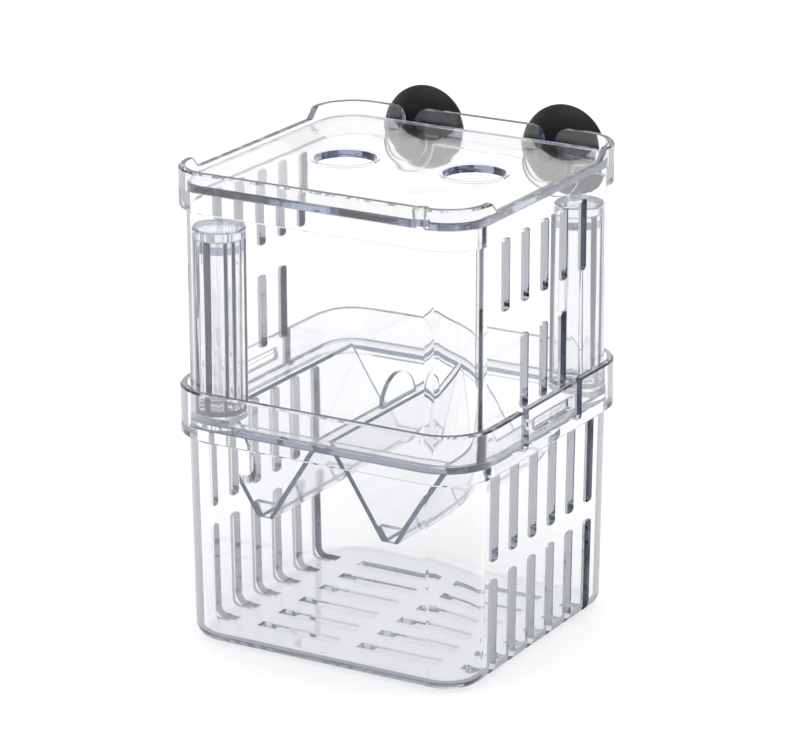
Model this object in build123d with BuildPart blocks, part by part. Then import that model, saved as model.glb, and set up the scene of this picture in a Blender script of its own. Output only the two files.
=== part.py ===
"""Two-storey fish breeding box in clear plastic.

Frame: millimetres, +Z up, origin at the middle of the base's underside.
The front faces -Y and the suction cups stand behind the back wall, at +Y.
"""
from build123d import *
from math import hypot, radians, sin, tan
import os

os.makedirs("parts", exist_ok=True)

# ---- Driving dimensions -------------------------------------------------

WALL = 1.8                     # moulded wall of both boxes
FIT_GAP = 0.3                  # between pieces that lift apart
REST_GAP = 0.1                 # between faces that stand on each other
EDGE = 0.4                     # small break on moulded edges
THROUGH = 60.0                 # reach of a cut that goes through both sides

# Lower box, half sizes along X and Y
BASE_HALF = (36.4, 35.4)       # at the base, from where the walls lean out
LOWER_DRAFT = 0.92             # degrees
LOWER_CORNER = 9.0
BASE_ROUND = 3.5
FLOOR = 1.8

# Collar round the lower box's mouth
COLLAR_HALF = (39.2, 38.2)
COLLAR_CORNER = 12.2
COLLAR_WALL = 1.6
COLLAR_BOTTOM = 48.7
COLLAR_TOP = 60.0
LEDGE_Z = 51.3                 # the fry tray's flange lies here
SLIT_BOTTOM = 50.7
SLIT_WIDTH = 2.4
SLIT_Y = 12.4                  # slits on both sides of the springy tongue
WINDOW = (17.2, 2.8)           # length and height of the latch window
WINDOW_Z = 55.6

# Slots in the lower box
SLOT_PITCH = 8.8
SLOT_WIDTH = 3.0
SLOT_CORNER = 0.5              # broken corners of slots and windows
LOWER_ROWS = 6
HIGH_SLOT = (27.9, 48.1)       # bottom and top of the upper row
LOW_SLOT_TOP = 23.4
WRAP_END = 29.1                # how far in the low slots reach on the floor
FLOOR_SLOT = (2.9, 23.2)       # |X| where a floor slot starts and ends

# Upper box
FOOT_Z = 52.8
UPPER_FOOT_HALF = (36.9, 35.9)
UPPER_DRAFT = 0.22             # degrees
UPPER_CORNER = 9.7
UPPER_INNER_CORNER = 6.4       # tighter, so that the float tubes nest in it
UPPER_SLOT_WIDTH = 2.7
UPPER_HIGH_ROWS = 5
UPPER_HIGH_SLOT = (83.8, 100.0)
UPPER_LOW_ROWS = 3
UPPER_LOW_SLOT = (59.5, 76.5)
LATCH = (14.0, 1.8, 0.4)       # length, height and reach of a latch bump

# Rim band that holds the lid
BAND_HALF = (38.3, 37.4)
BAND_CORNER = 10.2
BAND_BOTTOM = 100.8
BAND_WALL = 1.6
LID_LEDGE_Z = 105.2
RIM_TOP = 110.0
SIDE_RIM_TOP = 107.4
SIDE_RIM_HALF = (23.8, 26.4)   # half length of the low rim, at its bottom and top
SIDE_RIM_ROUND = 0.25

# Key inside the front rim, so that the lid goes on one way round
KEY_X = 26.2
KEY_INSET = 0.3                # of the key's axis from the rim's inner face
KEY_RADIUS = (1.3, 1.8)        # at the lid's ledge and at the top

# Notches in the back rim and the pockets behind them
NOTCH_X = 18.2
NOTCH_WIDTH = 3.3
NOTCH_FLARE = 3.3
NOTCH_Z = 103.0                # middle of the notch's round bottom
POCKET_HALF = 6.4
POCKET_Z = 100.3
POCKET_WALL = 1.0
POCKET_FLOOR_WALL = 2.0

# Suction cup
CUP_RADIUS = 10.4
CUP_DOME = 8.5                 # radius of the dome's profile
CUP_GAP = 0.4                  # between the rim band and the cup's shoulder
CUP_DEPTH = 6.4
CUP_HOLLOW = 2.6
CUP_LIP = 0.7
NECK_RADIUS = 1.5
SHOULDER_RADIUS = 3.6
SHOULDER_DEPTH = 1.6
BUTTON_RADIUS = 2.1
BUTTON_DEPTH = 1.2

# Lid
LID_THICKNESS = 1.6
HOLE_RADIUS = 7.05
HOLE_PLACES = ((-13.4, -0.5), (17.8, 2.4))
BEAD_WIDTH = 0.7
BEAD_HEIGHT = 0.3

# Fry tray
PLATE = 1.1
TROUGH_X = 16.0                # middle of each V-trough
TROUGH_BOTTOM = 31.4
TROUGH_ANGLE = 57.3            # slope of the V plates
TROUGH_HALF_LENGTH = 31.0
TROUGH_GAP = 1.4               # slot along the bottom of each V
RIDGE_HALF = 1.65
WEB_HEIGHT = 3.4               # webs across each bottom slot
WEB_THICKNESS = 1.6
TAB_RADIUS = 7.4
TAB_Z = 51.9
CORNER_CUT = 7.0               # radius of the tray's cut beside each tube

# Float tubes and their caps
TUBE_RADIUS = 6.0
TUBE_WALL = 1.0
TUBE_TOP = 93.8
SHELF = 1.2
CAP_HEIGHT = 2.4
PLUG_DEPTH = 3.0
PLUG_GAP = 0.05

# ---- Worked out from the driving dimensions ----------------------------

tray_bottom = LEDGE_Z + REST_GAP
tray_top = FOOT_Z - REST_GAP
shelf_top = FOOT_Z + SHELF
lid_bottom = LID_LEDGE_Z + REST_GAP
lid_top = lid_bottom + LID_THICKNESS
band_back = BAND_HALF[1]
upper_height = LID_LEDGE_Z - FOOT_Z
notch_places = (-NOTCH_X, NOTCH_X)
sides = (-1, 1)

# A tube nests in the box's rounded corner, nearest to it on the diagonal.
nest = (UPPER_INNER_CORNER - TUBE_RADIUS - REST_GAP) / hypot(1, 1)
tube_x = UPPER_FOOT_HALF[0] - WALL - UPPER_INNER_CORNER + nest
tube_y = UPPER_FOOT_HALF[1] - WALL - UPPER_INNER_CORNER + nest
tube_places = {"front": (-tube_x, -tube_y), "back": (tube_x, tube_y)}


def rounded(half, corner, grow=0.0):
    """A rounded rectangle from half sizes, grown or shrunk all round."""
    RectangleRounded(2 * (half[0] + grow), 2 * (half[1] + grow), corner + grow)


def lean(height, draft):
    """How far a drafted wall has leant out at a height."""
    return height * tan(radians(draft))


def row_places(count):
    """Y positions of a centred row of slots."""
    return [SLOT_PITCH * (i - (count - 1) / 2) for i in range(count)]


def side_slots(y_places, width, bottom, top):
    """Upright slots in the YZ plane, for cutting the side walls."""
    with Locations(*[(y, (bottom + top) / 2) for y in y_places]):
        Rectangle(width, top - bottom)


# ---- Lower box ----------------------------------------------------------

with BuildPart() as lower_cavity:
    with BuildSketch(Plane.XY.offset(FLOOR)):
        rounded(BASE_HALF, LOWER_CORNER, lean(FLOOR, LOWER_DRAFT) - WALL)
    extrude(amount=LEDGE_Z - FLOOR, taper=-LOWER_DRAFT)
    fillet(lower_cavity.edges().group_by(Axis.Z)[0], BASE_ROUND - WALL)

with BuildPart() as collar:
    with BuildSketch(Plane.XY.offset(COLLAR_BOTTOM)):
        rounded(COLLAR_HALF, COLLAR_CORNER)
    extrude(amount=COLLAR_TOP - COLLAR_BOTTOM)
    chamfer(collar.edges().group_by(Axis.Z)[0] + collar.edges().group_by(Axis.Z)[-1], EDGE)

with BuildPart() as lower_box:
    with BuildSketch():
        rounded(BASE_HALF, LOWER_CORNER)
    extrude(amount=LEDGE_Z, taper=-LOWER_DRAFT)
    fillet(lower_box.edges().group_by(Axis.Z)[0], BASE_ROUND)

    # Collar, with its mouth and the ledge that the tray lies on
    add(collar.part)
    add(lower_cavity.part, mode=Mode.SUBTRACT)
    with BuildSketch(Plane.XY.offset(LEDGE_Z)):
        rounded(COLLAR_HALF, COLLAR_CORNER, -COLLAR_WALL)
    extrude(amount=COLLAR_TOP, mode=Mode.SUBTRACT)

    # High slots through both side walls
    with BuildSketch(Plane.YZ) as high_slots:
        side_slots(row_places(LOWER_ROWS), SLOT_WIDTH, *HIGH_SLOT)
        chamfer(high_slots.vertices(), SLOT_CORNER)
    extrude(amount=THROUGH, both=True, mode=Mode.SUBTRACT)

    # Low slots, which run down the wall, round the base and onto the floor
    for side in sides:
        with BuildSketch(Plane.YZ.offset(side * WRAP_END)) as low_slots:
            side_slots(row_places(LOWER_ROWS), SLOT_WIDTH, -LOW_SLOT_TOP, LOW_SLOT_TOP)
            chamfer(low_slots.vertices(), SLOT_CORNER)
        extrude(amount=side * THROUGH, mode=Mode.SUBTRACT)

    # Floor slots in two columns, in line with the slots of the walls
    floor_slot_x = sum(FLOOR_SLOT) / 2
    floor_slot_places = [(side * floor_slot_x, y) for side in sides for y in row_places(LOWER_ROWS)]
    with BuildSketch():
        with Locations(*floor_slot_places):
            Rectangle(FLOOR_SLOT[1] - FLOOR_SLOT[0], SLOT_WIDTH)
    extrude(amount=FLOOR, mode=Mode.SUBTRACT)

    # Tongue on each side of the collar: two slits and the latch window
    with BuildSketch(Plane.YZ) as tongue_cuts:
        with Locations((-SLIT_Y, COLLAR_TOP), (SLIT_Y, COLLAR_TOP)):
            Rectangle(SLIT_WIDTH, 2 * (COLLAR_TOP - SLIT_BOTTOM))
        with Locations((0, WINDOW_Z)):
            Rectangle(*WINDOW)
        chamfer(tongue_cuts.vertices(), SLOT_CORNER)
    extrude(amount=THROUGH, both=True, mode=Mode.SUBTRACT)

lower_box.part.label = "lower_box"
export_step(lower_box.part, "parts/lower_box.step")

# ---- Upper box ----------------------------------------------------------

with BuildPart() as upper_cavity:
    with BuildSketch(Plane.XY.offset(FOOT_Z)):
        rounded(UPPER_FOOT_HALF, UPPER_INNER_CORNER + WALL, -WALL)
    extrude(amount=upper_height, taper=-UPPER_DRAFT)

with BuildPart() as rim_band:
    with BuildSketch(Plane.XY.offset(BAND_BOTTOM)):
        rounded(BAND_HALF, BAND_CORNER)
    extrude(amount=RIM_TOP - BAND_BOTTOM)
    chamfer(rim_band.edges().group_by(Axis.Z)[0] + rim_band.edges().group_by(Axis.Z)[-1], EDGE)

with BuildPart() as upper_box:
    with BuildSketch(Plane.XY.offset(FOOT_Z)):
        rounded(UPPER_FOOT_HALF, UPPER_CORNER)
    extrude(amount=upper_height, taper=-UPPER_DRAFT)
    add(rim_band.part)

    # Pocket lobes that hang from the band on the back wall
    with BuildSketch(Plane.XZ.offset(-band_back)):
        with Locations(*[(x, POCKET_Z) for x in notch_places]):
            Circle(POCKET_HALF)
    extrude(amount=band_back - UPPER_FOOT_HALF[1] + WALL / 2)

    # Hollow of the box, and the seat of the lid above its ledge
    add(upper_cavity.part, mode=Mode.SUBTRACT)
    with BuildSketch(Plane.XY.offset(LID_LEDGE_Z)):
        rounded(BAND_HALF, BAND_CORNER, -BAND_WALL)
    extrude(amount=RIM_TOP, mode=Mode.SUBTRACT)

    # Key that stands on the ledge inside the front rim and widens upwards
    key_y = KEY_INSET + BAND_WALL - BAND_HALF[1]
    low_radius, high_radius = KEY_RADIUS
    with BuildSketch(Plane.XY.offset(LID_LEDGE_Z)):
        with Locations((KEY_X, key_y)):
            Circle(low_radius)
    with BuildSketch(Plane.XY.offset(RIM_TOP - EDGE)):
        with Locations((KEY_X, key_y)):
            Circle(high_radius)
    loft()

    # Low side rims, with sloping steps up to the full rim
    low_half, high_half = SIDE_RIM_HALF
    with BuildSketch(Plane.YZ):
        with BuildLine():
            FilletPolyline(
                (-high_half, RIM_TOP + EDGE),
                (-high_half, RIM_TOP),
                (-low_half, SIDE_RIM_TOP),
                (low_half, SIDE_RIM_TOP),
                (high_half, RIM_TOP),
                (high_half, RIM_TOP + EDGE),
                radius=SIDE_RIM_ROUND,
            )
            Line((-high_half, RIM_TOP + EDGE), (high_half, RIM_TOP + EDGE))
        make_face()
    extrude(amount=THROUGH, both=True, mode=Mode.SUBTRACT)

    # Slots through both side walls, in two rows
    with BuildSketch(Plane.YZ) as upper_slots:
        side_slots(row_places(UPPER_HIGH_ROWS), UPPER_SLOT_WIDTH, *UPPER_HIGH_SLOT)
        side_slots(row_places(UPPER_LOW_ROWS), UPPER_SLOT_WIDTH, *UPPER_LOW_SLOT)
        chamfer(upper_slots.vertices(), SLOT_CORNER)
    extrude(amount=THROUGH, both=True, mode=Mode.SUBTRACT)

    # Pockets inside the lobes, open upwards under the lid
    pocket_half = POCKET_HALF - POCKET_WALL
    pocket_bottom = POCKET_Z - POCKET_HALF + POCKET_FLOOR_WALL
    pocket_round_z = pocket_bottom + pocket_half
    with BuildSketch(Plane.XZ.offset(-(band_back - BAND_WALL))):
        with Locations(*[(x, pocket_round_z) for x in notch_places]):
            Circle(pocket_half)
        with Locations(*[(x, (pocket_round_z + LID_LEDGE_Z) / 2) for x in notch_places]):
            Rectangle(2 * pocket_half, LID_LEDGE_Z - pocket_round_z)
    extrude(amount=2 * WALL, mode=Mode.SUBTRACT)

    # Notches for the necks of the suction cups, flared at the rim
    notch_half = NOTCH_WIDTH / 2
    mouth_half = notch_half + NOTCH_FLARE
    flare_z = RIM_TOP - NOTCH_FLARE
    over = RIM_TOP + EDGE
    with BuildSketch(Plane.XZ.offset(-(band_back - 2 * BAND_WALL))):
        for x in notch_places:
            with BuildLine():
                Line((x - notch_half, flare_z), (x - notch_half, NOTCH_Z))
                RadiusArc((x - notch_half, NOTCH_Z), (x + notch_half, NOTCH_Z), -notch_half)
                Line((x + notch_half, NOTCH_Z), (x + notch_half, flare_z))
                RadiusArc((x + notch_half, flare_z), (x + mouth_half, RIM_TOP), NOTCH_FLARE)
                Polyline(
                    (x + mouth_half, RIM_TOP),
                    (x + mouth_half, over),
                    (x - mouth_half, over),
                    (x - mouth_half, RIM_TOP),
                )
                RadiusArc((x - mouth_half, RIM_TOP), (x - notch_half, flare_z), NOTCH_FLARE)
            make_face()
    extrude(amount=-2 * band_back, mode=Mode.SUBTRACT)

    # Corner shelves that the float tubes stand on
    shelf_half = TUBE_RADIUS + FIT_GAP
    shelf_outline_half = (UPPER_FOOT_HALF[0] - WALL / 2, UPPER_FOOT_HALF[1] - WALL / 2)
    shelf_corners = [(x / abs(x), y / abs(y)) for x, y in tube_places.values()]
    with BuildSketch(Plane.XY.offset(FOOT_Z)):
        with Locations(*tube_places.values()):
            Circle(shelf_half)
        for (x, y), (right, back) in zip(tube_places.values(), shelf_corners):
            with Locations((x + right * shelf_half / 2, y), (x + right * shelf_half, y)):
                Rectangle(shelf_half, 2 * shelf_half)
            with Locations((x, y + back * shelf_half / 2), (x, y + back * shelf_half)):
                Rectangle(2 * shelf_half, shelf_half)
        RectangleRounded(
            2 * shelf_outline_half[0],
            2 * shelf_outline_half[1],
            UPPER_CORNER - WALL / 2,
            mode=Mode.INTERSECT,
        )
    extrude(amount=SHELF)

    # Latch bumps that sit behind the collar's windows
    latch_length, latch_height, latch_reach = LATCH
    for side in sides:
        with BuildSketch(Plane.YZ.offset(side * (UPPER_FOOT_HALF[0] + latch_reach))):
            with Locations((0, WINDOW_Z)):
                Rectangle(latch_length, latch_height)
        extrude(amount=-side * (latch_reach + WALL / 2))

upper_box.part.label = "upper_box"
export_step(upper_box.part, "parts/upper_box.step")

# ---- Lid ----------------------------------------------------------------

with BuildPart() as lid:
    with BuildSketch(Plane.XY.offset(lid_bottom)):
        rounded(BAND_HALF, BAND_CORNER, -BAND_WALL - FIT_GAP)
    extrude(amount=LID_THICKNESS)
    chamfer(lid.edges().group_by(Axis.Z)[-1], EDGE)

    # Feeding holes, each with a low bead round its edge
    with BuildSketch(Plane.XY.offset(lid_top)):
        with Locations(*HOLE_PLACES):
            Circle(HOLE_RADIUS + BEAD_WIDTH)
    extrude(amount=BEAD_HEIGHT)
    with BuildSketch(Plane.XY.offset(lid_bottom)):
        with Locations(*HOLE_PLACES):
            Circle(HOLE_RADIUS)
        with Locations((KEY_X, key_y)):
            Circle(high_radius + FIT_GAP)
    extrude(amount=2 * LID_THICKNESS, mode=Mode.SUBTRACT)

lid.part.label = "lid"
export_step(lid.part, "parts/lid.step")

# ---- Fry tray -----------------------------------------------------------

slope_run = 1 / tan(radians(TROUGH_ANGLE))         # sideways step per millimetre of height
plate_width = PLATE / sin(radians(TROUGH_ANGLE))   # a sloping plate's level thickness
mouth_run = (tray_top - TROUGH_BOTTOM) * slope_run
inner_top_x = TROUGH_X - TROUGH_GAP / 2 - mouth_run
outer_top_x = TROUGH_X + TROUGH_GAP / 2 + mouth_run

with BuildPart() as fry_tray:
    # Flange with its open middle
    with BuildSketch(Plane.XY.offset(tray_bottom)):
        rounded(COLLAR_HALF, COLLAR_CORNER, -COLLAR_WALL - FIT_GAP)
        Rectangle(2 * outer_top_x, 2 * TROUGH_HALF_LENGTH, mode=Mode.SUBTRACT)
    extrude(amount=tray_top - tray_bottom)

    # Sloping plates of the two troughs
    with BuildSketch(Plane.XZ):
        for side in sides:
            inner_tip_x = side * (TROUGH_X - TROUGH_GAP / 2)
            outer_tip_x = side * (TROUGH_X + TROUGH_GAP / 2)
            with BuildLine():
                Polyline(
                    (side * inner_top_x, tray_top),
                    (inner_tip_x, TROUGH_BOTTOM),
                    (inner_tip_x - side * plate_width, TROUGH_BOTTOM),
                    (side * (inner_top_x - plate_width), tray_top),
                    close=True,
                )
            make_face()
            with BuildLine():
                Polyline(
                    (side * outer_top_x, tray_top),
                    (outer_tip_x, TROUGH_BOTTOM),
                    (outer_tip_x + side * plate_width, TROUGH_BOTTOM),
                    (side * (outer_top_x + plate_width), tray_top),
                    close=True,
                )
            make_face()
        with Locations((0, tray_top)):
            Rectangle(2 * RIDGE_HALF, 2 * PLATE)
        with Locations((0, tray_top + PLATE)):
            Rectangle(2 * RIDGE_HALF, 2 * PLATE, mode=Mode.SUBTRACT)
    extrude(amount=TROUGH_HALF_LENGTH, both=True)

    # Webs that hold the two plates of a trough together along its slot
    web_y = TROUGH_HALF_LENGTH - WEB_THICKNESS / 2
    web_half_bottom = TROUGH_GAP / 2
    web_half_top = web_half_bottom + WEB_HEIGHT * slope_run
    web_top = TROUGH_BOTTOM + WEB_HEIGHT
    for y in (-web_y, 0, web_y):
        with BuildSketch(Plane.XZ.offset(-y)):
            for x in (-TROUGH_X, TROUGH_X):
                with BuildLine():
                    Polyline(
                        (x - web_half_bottom, TROUGH_BOTTOM),
                        (x + web_half_bottom, TROUGH_BOTTOM),
                        (x + web_half_top, web_top),
                        (x - web_half_top, web_top),
                        close=True,
                    )
                make_face()
        extrude(amount=WEB_THICKNESS / 2, both=True)

    # Pull tab standing on the ridge
    with BuildSketch(Plane.YZ):
        with Locations((0, TAB_Z)):
            Circle(TAB_RADIUS)
        with Locations((0, TAB_Z - TAB_RADIUS / 2)):
            Rectangle(2 * TAB_RADIUS, TAB_RADIUS, mode=Mode.SUBTRACT)
    extrude(amount=PLATE / 2, both=True)

    # Corners cut round the float tubes
    with BuildSketch(Plane.XY.offset(TROUGH_BOTTOM)):
        with Locations(*tube_places.values()):
            Circle(CORNER_CUT)
    extrude(amount=tray_top, mode=Mode.SUBTRACT)

fry_tray.part.label = "fry_tray"
export_step(fry_tray.part, "parts/fry_tray.step")

# ---- Float tubes and caps -----------------------------------------------

bore_radius = TUBE_RADIUS - TUBE_WALL

for place, (x, y) in tube_places.items():
    with BuildPart() as float_tube:
        with BuildSketch(Plane.XY.offset(shelf_top)):
            with Locations((x, y)):
                Circle(TUBE_RADIUS)
        extrude(amount=TUBE_TOP - shelf_top)
        with BuildSketch(Plane.XY.offset(shelf_top + TUBE_WALL)):
            with Locations((x, y)):
                Circle(bore_radius)
        extrude(amount=TUBE_TOP, mode=Mode.SUBTRACT)
    float_tube.part.label = f"float_tube_{place}"
    export_step(float_tube.part, f"parts/float_tube_{place}.step")

    with BuildPart() as float_cap:
        with BuildSketch(Plane.XY.offset(TUBE_TOP)):
            with Locations((x, y)):
                Circle(TUBE_RADIUS)
        extrude(amount=CAP_HEIGHT)
        chamfer(float_cap.edges().group_by(Axis.Z)[-1], EDGE)
        with BuildSketch(Plane.XY.offset(TUBE_TOP)):
            with Locations((x, y)):
                Circle(bore_radius - PLUG_GAP)
        extrude(amount=-PLUG_DEPTH)
    float_cap.part.label = f"float_cap_{place}"
    export_step(float_cap.part, f"parts/float_cap_{place}.step")

# ---- Suction cups -------------------------------------------------------

# Profile in the plane of the cup's axis: X is the radius and Y points backwards.
shoulder_y = band_back + CUP_GAP
cup_back = shoulder_y + CUP_DEPTH
button_back = band_back - BAND_WALL - REST_GAP
hollow_y = cup_back - CUP_HOLLOW
hollow_radius = (CUP_RADIUS**2 + CUP_HOLLOW**2) / (2 * CUP_HOLLOW)

for place, x in zip(("left", "right"), notch_places):
    with BuildPart() as suction_cup:
        with BuildSketch(Plane.XY.offset(NOTCH_Z)):
            with BuildLine():
                Polyline(
                    (x, button_back - BUTTON_DEPTH),
                    (x + BUTTON_RADIUS, button_back - BUTTON_DEPTH),
                    (x + BUTTON_RADIUS, button_back),
                    (x + NECK_RADIUS, button_back),
                    (x + NECK_RADIUS, shoulder_y),
                    (x + SHOULDER_RADIUS, shoulder_y),
                    (x + SHOULDER_RADIUS, shoulder_y + SHOULDER_DEPTH),
                )
                RadiusArc(
                    (x + SHOULDER_RADIUS, shoulder_y + SHOULDER_DEPTH),
                    (x + CUP_RADIUS, cup_back - CUP_LIP),
                    -CUP_DOME,
                )
                Line((x + CUP_RADIUS, cup_back - CUP_LIP), (x + CUP_RADIUS, cup_back))
                RadiusArc((x + CUP_RADIUS, cup_back), (x, hollow_y), hollow_radius)
                Line((x, hollow_y), (x, button_back - BUTTON_DEPTH))
            make_face()
        revolve(axis=Axis((x, 0, NOTCH_Z), (0, 1, 0)))
    suction_cup.part.label = f"suction_cup_{place}"
    export_step(suction_cup.part, f"parts/suction_cup_{place}.step")
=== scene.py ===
"""Clear two-storey fish breeding box: materials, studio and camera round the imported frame."""
import math

import bpy
from mathutils import Matrix, Vector

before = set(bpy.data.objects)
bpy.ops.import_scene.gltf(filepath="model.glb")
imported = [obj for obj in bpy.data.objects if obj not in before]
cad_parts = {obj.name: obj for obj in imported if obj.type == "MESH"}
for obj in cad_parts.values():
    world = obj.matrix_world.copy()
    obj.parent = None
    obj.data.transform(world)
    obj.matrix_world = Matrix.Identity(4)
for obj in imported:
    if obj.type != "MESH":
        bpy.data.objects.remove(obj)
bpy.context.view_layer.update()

# ---- Camera, from the lines fitted in the photograph ---------------------

AZIMUTH, ELEVATION, ROLL = (math.radians(v) for v in (30.225, 18.068, -0.128))
DISTANCE = 0.900785
TARGET = Vector((0.0, 0.0, 0.055))
SLIDE_RIGHT, SLIDE_UP = 0.000203, 0.004368
LENS = 180.37
SENSOR = 36.0

back = Vector((
    math.sin(AZIMUTH) * math.cos(ELEVATION),
    -math.cos(AZIMUTH) * math.cos(ELEVATION),
    math.sin(ELEVATION),
))
level_right = Vector((math.cos(AZIMUTH), math.sin(AZIMUTH), 0.0))
level_up = back.cross(level_right)
right = level_right * math.cos(ROLL) + level_up * math.sin(ROLL)
up = back.cross(right)

camera_data = bpy.data.cameras.new("camera")
camera_data.lens = LENS
camera_data.sensor_width = SENSOR
camera = bpy.data.objects.new("camera", camera_data)
camera.matrix_world = Matrix((
    (right.x, up.x, back.x, 0.0),
    (right.y, up.y, back.y, 0.0),
    (right.z, up.z, back.z, 0.0),
    (0.0, 0.0, 0.0, 1.0),
))
camera.location = TARGET + back * DISTANCE + right * SLIDE_RIGHT + up * SLIDE_UP
bpy.context.scene.collection.objects.link(camera)
bpy.context.scene.camera = camera


# ---- Node helpers --------------------------------------------------------

# A Mix node has its sockets once per kind of data, so they're told apart by number.
MIX_SHARE, MIX_COLOURS, MIXED_COLOUR = 0, (6, 7), 2


def new_material(name):
    """A node material with its tree and Principled shader."""
    made = bpy.data.materials.new(name)
    made.use_nodes = True
    tree = made.node_tree
    return made, tree, tree.nodes["Principled BSDF"]


def math_node(tree, operation, first, second=None):
    """A Math node's answer for a socket and, where it takes two, a socket or a number."""
    node = tree.nodes.new("ShaderNodeMath")
    node.operation = operation
    tree.links.new(first, node.inputs[0])
    if isinstance(second, float):
        node.inputs[1].default_value = second
    elif second is not None:
        tree.links.new(second, node.inputs[1])
    return node.outputs["Value"]


def noise(tree, scale, detail=2.0, stretch=(1.0, 1.0, 1.0)):
    """Object-space noise; a small stretch value draws it out along that axis."""
    place = tree.nodes.new("ShaderNodeTexCoord")
    mapping = tree.nodes.new("ShaderNodeMapping")
    mapping.inputs["Scale"].default_value = stretch
    cloud = tree.nodes.new("ShaderNodeTexNoise")
    cloud.inputs["Scale"].default_value = scale
    cloud.inputs["Detail"].default_value = detail
    tree.links.new(place.outputs["Object"], mapping.inputs["Vector"])
    tree.links.new(mapping.outputs["Vector"], cloud.inputs["Vector"])
    return cloud.outputs["Fac"]


def spread(tree, source, low, high):
    """source from 0..1 mapped to low..high."""
    node = tree.nodes.new("ShaderNodeMapRange")
    node.inputs["To Min"].default_value = low
    node.inputs["To Max"].default_value = high
    tree.links.new(source, node.inputs["Value"])
    return node.outputs["Result"]


def bump(tree, shader, height, distance, strength=1.0):
    """Give the shader a bump from a height in 0..1; the answer is the bumped normal."""
    node = tree.nodes.new("ShaderNodeBump")
    node.inputs["Strength"].default_value = strength
    node.inputs["Distance"].default_value = distance
    tree.links.new(height, node.inputs["Height"])
    tree.links.new(node.outputs["Normal"], shader.inputs["Normal"])
    return node.outputs["Normal"]


def colour_mix(tree, share, first, second):
    """Mix two colours, each a value or a socket."""
    node = tree.nodes.new("ShaderNodeMix")
    node.data_type = "RGBA"
    tree.links.new(share, node.inputs[MIX_SHARE])
    for socket, colour in zip(MIX_COLOURS, (first, second)):
        if isinstance(colour, tuple):
            node.inputs[socket].default_value = colour
        else:
            tree.links.new(colour, node.inputs[socket])
    return node.outputs[MIXED_COLOUR]


def mix_shaders(tree, share, first, second):
    """Mix two shaders by a share."""
    node = tree.nodes.new("ShaderNodeMixShader")
    tree.links.new(share, node.inputs["Fac"])
    tree.links.new(first, node.inputs[1])
    tree.links.new(second, node.inputs[2])
    return node.outputs["Shader"]


# ---- Clear moulded plastic ------------------------------------------------

PLASTIC_IOR = 1.53
WALL_COLOUR = (0.950, 0.951, 0.956, 1.0)
BODY_COLOUR = (0.44, 0.48, 0.58, 1.0)
BODY_DENSITY = 12.0
SHADOW_COLOUR = (0.996, 0.996, 0.996, 1.0)
RUB_GRAIN, RUB_DETAIL, RUB_ROUGHNESS = 900.0, 3.0, 0.05
WAVE_DETAIL = 1.0

# Light that is wholly turned back inside a wall is given a darker colour: painted shade that
# draws the edges dark, in place of dark surroundings reflected there.
# Its first turn has a painted shade of each plastic's own, and every later turn the same faint
# painted shade.
GREY_TURN_SHADE = (0.43, 0.44, 0.47, 1.0)
STEEL_TURN_SHADE = (0.33, 0.38, 0.47, 1.0)
LILAC_TURN_SHADE = (0.54, 0.59, 0.74, 1.0)
DARK_TURN_SHADE = (0.09, 0.10, 0.13, 1.0)
LATER_TURN_SHADE = (0.94, 0.944, 0.955, 1.0)
TOTAL_REFLECTION = 0.999
MIRROR_ROUGHNESS = 0.02

# The slotted floor stands on the pale table, so the edges of its slots get a paler painted shade,
# standing in for the lit table seen in them.
FLOOR_TURN_SHADE = (0.92, 0.925, 0.94, 1.0)
FLOOR_PANE = (0.0305, 0.0295, 0.003)  # half width, half depth and height


def within(tree, limits):
    """1 where each object-space coordinate is nearer to 0 than its limit, else 0."""
    place = tree.nodes.new("ShaderNodeTexCoord")
    parts = tree.nodes.new("ShaderNodeSeparateXYZ")
    tree.links.new(place.outputs["Object"], parts.inputs["Vector"])
    answer = None
    for axis, limit in zip("XYZ", limits):
        size = math_node(tree, "ABSOLUTE", parts.outputs[axis])
        inner = math_node(tree, "LESS_THAN", size, limit)
        answer = inner if answer is None else math_node(tree, "MULTIPLY", answer, inner)
    return answer


def shaded_inner_mirror(tree, first_turn_shade, skin):
    """The shader that paints shade on wholly reflected light, and 1 where a ray is wholly
    reflected.
    """
    fresnel = tree.nodes.new("ShaderNodeFresnel")
    fresnel.inputs["IOR"].default_value = PLASTIC_IOR
    tree.links.new(skin, fresnel.inputs["Normal"])
    turned = math_node(tree, "GREATER_THAN", fresnel.outputs["Fac"], TOTAL_REFLECTION)

    path = tree.nodes.new("ShaderNodeLightPath")
    # Painted shade colour: paler on the slotted floor pane, and the faint later one after the
    # first turn.
    first = colour_mix(tree, within(tree, FLOOR_PANE), first_turn_shade, FLOOR_TURN_SHADE)
    colour = colour_mix(tree, path.outputs["Glossy Depth"], first, LATER_TURN_SHADE)
    shaded_mirror = tree.nodes.new("ShaderNodeBsdfGlossy")
    shaded_mirror.inputs["Roughness"].default_value = MIRROR_ROUGHNESS
    tree.links.new(colour, shaded_mirror.inputs["Color"])
    tree.links.new(skin, shaded_mirror.inputs["Normal"])
    return shaded_mirror.outputs["BSDF"], turned


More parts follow.
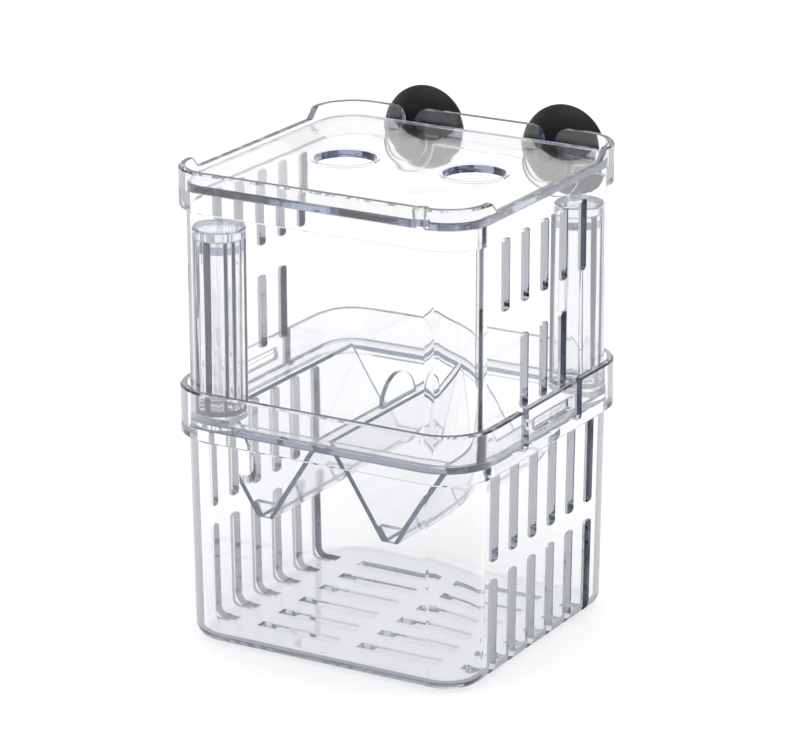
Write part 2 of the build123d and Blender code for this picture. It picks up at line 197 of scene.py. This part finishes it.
def clear_plastic(name, first_turn_shade, waviness, grain, flow):
    """Polished styrene with a faint blue body, moulding waviness, fine rub marks and painted
    shade where light is wholly turned back inside it.

    waviness is the waves' height in metres and grain about how many there are to a metre. flow
    scales the axes: a small value draws the waves out along its axis.
    """
    made, tree, shader = new_material(name)
    shader.inputs["Base Color"].default_value = WALL_COLOUR
    shader.inputs["Transmission Weight"].default_value = 1.0
    shader.inputs["IOR"].default_value = PLASTIC_IOR
    rub = noise(tree, RUB_GRAIN, RUB_DETAIL, flow)
    tree.links.new(spread(tree, rub, 0.0, RUB_ROUGHNESS), shader.inputs["Roughness"])
    skin = bump(tree, shader, noise(tree, grain, WAVE_DETAIL, flow), waviness)

    output = tree.nodes["Material Output"]
    body = tree.nodes.new("ShaderNodeVolumeAbsorption")
    body.inputs["Color"].default_value = BODY_COLOUR
    body.inputs["Density"].default_value = BODY_DENSITY
    tree.links.new(body.outputs["Volume"], output.inputs["Volume"])

    # Painted shade: wholly reflected light takes the first_turn_shade colour in place of the
    # plain plastic.
    shaded_mirror, turned = shaded_inner_mirror(tree, first_turn_shade, skin)
    solid = mix_shaders(tree, turned, shader.outputs["BSDF"], shaded_mirror)

    # Lamp light passes through, as it does through thin clear walls.
    open_way = tree.nodes.new("ShaderNodeBsdfTransparent")
    open_way.inputs["Color"].default_value = SHADOW_COLOUR
    path = tree.nodes.new("ShaderNodeLightPath")
    surface = mix_shaders(tree, path.outputs["Is Shadow Ray"], solid, open_way.outputs["BSDF"])
    tree.links.new(surface, output.inputs["Surface"])
    return made


# Each plastic's first inner turn takes its own painted shade colour, which sets how dark its
# edges draw.
box_plastic = clear_plastic(
    "box_plastic", GREY_TURN_SHADE, waviness=0.00012, grain=55.0, flow=(1.0, 1.0, 0.35))
lid_plastic = clear_plastic(
    "lid_plastic", LILAC_TURN_SHADE, waviness=0.00010, grain=90.0, flow=(1.0, 0.6, 1.0))
tray_plastic = clear_plastic(
    "tray_plastic", STEEL_TURN_SHADE, waviness=0.00010, grain=55.0, flow=(1.0, 0.5, 1.0))
# The drawn tubes are streaked along their length by a bump; their wholly reflected light takes a
# very dark painted shade, which darkens the streaks.
tube_plastic = clear_plastic(
    "tube_plastic", DARK_TURN_SHADE, waviness=0.0060, grain=260.0, flow=(1.0, 1.0, 0.02))

# ---- Rubber ---------------------------------------------------------------

RUBBER_TONES = (0.004, 0.004, 0.005, 1.0), (0.010, 0.010, 0.011, 1.0)
RUBBER_SPECULAR = 0.18
RUBBER_ROUGHNESS = 0.38, 0.52
MOTTLE_GRAIN, MOTTLE_DETAIL = 260.0, 4.0
SKIN_GRAIN, SKIN_HEIGHT, SKIN_STRENGTH = 1400.0, 0.0001, 0.15


def black_rubber(name):
    """Soft black rubber with a satin skin and faint mottling."""
    made, tree, shader = new_material(name)
    mottle = noise(tree, MOTTLE_GRAIN, MOTTLE_DETAIL)
    ramp = tree.nodes.new("ShaderNodeValToRGB")
    for stop, tone in zip(ramp.color_ramp.elements, RUBBER_TONES):
        stop.color = tone
    tree.links.new(mottle, ramp.inputs["Fac"])
    tree.links.new(ramp.outputs["Color"], shader.inputs["Base Color"])
    shader.inputs["Specular IOR Level"].default_value = RUBBER_SPECULAR
    tree.links.new(spread(tree, mottle, *RUBBER_ROUGHNESS), shader.inputs["Roughness"])
    bump(tree, shader, noise(tree, SKIN_GRAIN), SKIN_HEIGHT, SKIN_STRENGTH)
    return made


rubber = black_rubber("cup_rubber")

# ---- What each piece is made of -------------------------------------------

finishes = {
    "lower_box": box_plastic,
    "upper_box": box_plastic,
    "lid": lid_plastic,
    "fry_tray": tray_plastic,
    "float_tube_front": tube_plastic,
    "float_tube_back": tube_plastic,
    "float_cap_front": lid_plastic,
    "float_cap_back": lid_plastic,
    "suction_cup_left": rubber,
    "suction_cup_right": rubber,
}
for node, finish in finishes.items():
    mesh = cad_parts[node].data
    mesh.materials.clear()
    mesh.materials.append(finish)

# Where a float part rests on its neighbour, both faces lie in one plane; a hair's gap parts them.
HAIR = 0.00004
for node in ("float_tube_front", "float_tube_back", "float_cap_front", "float_cap_back"):
    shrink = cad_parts[node].modifiers.new("hair_gap", "DISPLACE")
    shrink.strength = -HAIR
    shrink.mid_level = 0.0

# ---- Floor, light and surroundings ----------------------------------------

FLOOR_HALF = 4.0
FLOOR_Z = -0.0002
FLOOR_TONE = (0.9, 0.9, 0.9, 1.0)
FLOOR_ROUGHNESS = 0.9
PANEL_PLACE = Vector((0.0, 0.1, 1.6))
PANEL_SIZE = 1.8
PANEL_POWER = 14.5
SKY_TONE = (0.95, 0.95, 0.95, 1.0)

floor_mesh = bpy.data.meshes.new("floor")
corners = [(x, y, FLOOR_Z) for x, y in (
    (-FLOOR_HALF, -FLOOR_HALF),
    (FLOOR_HALF, -FLOOR_HALF),
    (FLOOR_HALF, FLOOR_HALF),
    (-FLOOR_HALF, FLOOR_HALF),
)]
floor_mesh.from_pydata(corners, [], [(0, 1, 2, 3)])
floor = bpy.data.objects.new("floor", floor_mesh)
bpy.context.scene.collection.objects.link(floor)
floor_paint, _, floor_shader = new_material("floor_paint")
floor_shader.inputs["Base Color"].default_value = FLOOR_TONE
floor_shader.inputs["Roughness"].default_value = FLOOR_ROUGHNESS
floor_shader.inputs["Specular IOR Level"].default_value = 0.0
floor_mesh.materials.append(floor_paint)

panel_data = bpy.data.lights.new("panel", "AREA")
panel_data.size = PANEL_SIZE
panel_data.energy = PANEL_POWER
panel = bpy.data.objects.new("panel", panel_data)
panel.location = PANEL_PLACE
panel.rotation_mode = "QUATERNION"
panel.rotation_quaternion = (TARGET - PANEL_PLACE).to_track_quat("-Z", "Y")
bpy.context.scene.collection.objects.link(panel)

world = bpy.data.worlds.new("studio")
bpy.context.scene.world = world
world.use_nodes = True
world.node_tree.nodes["Background"].inputs["Color"].default_value = SKY_TONE

# Light crosses many clear walls, and turns many times in them, before it leaves the object.
MANY_BOUNCES, SHADOW_PASSES = 128, 64
scene = bpy.context.scene
scene.view_settings.view_transform = "Standard"
scene.cycles.max_bounces = MANY_BOUNCES
scene.cycles.transmission_bounces = MANY_BOUNCES
scene.cycles.glossy_bounces = MANY_BOUNCES
scene.cycles.transparent_max_bounces = SHADOW_PASSES
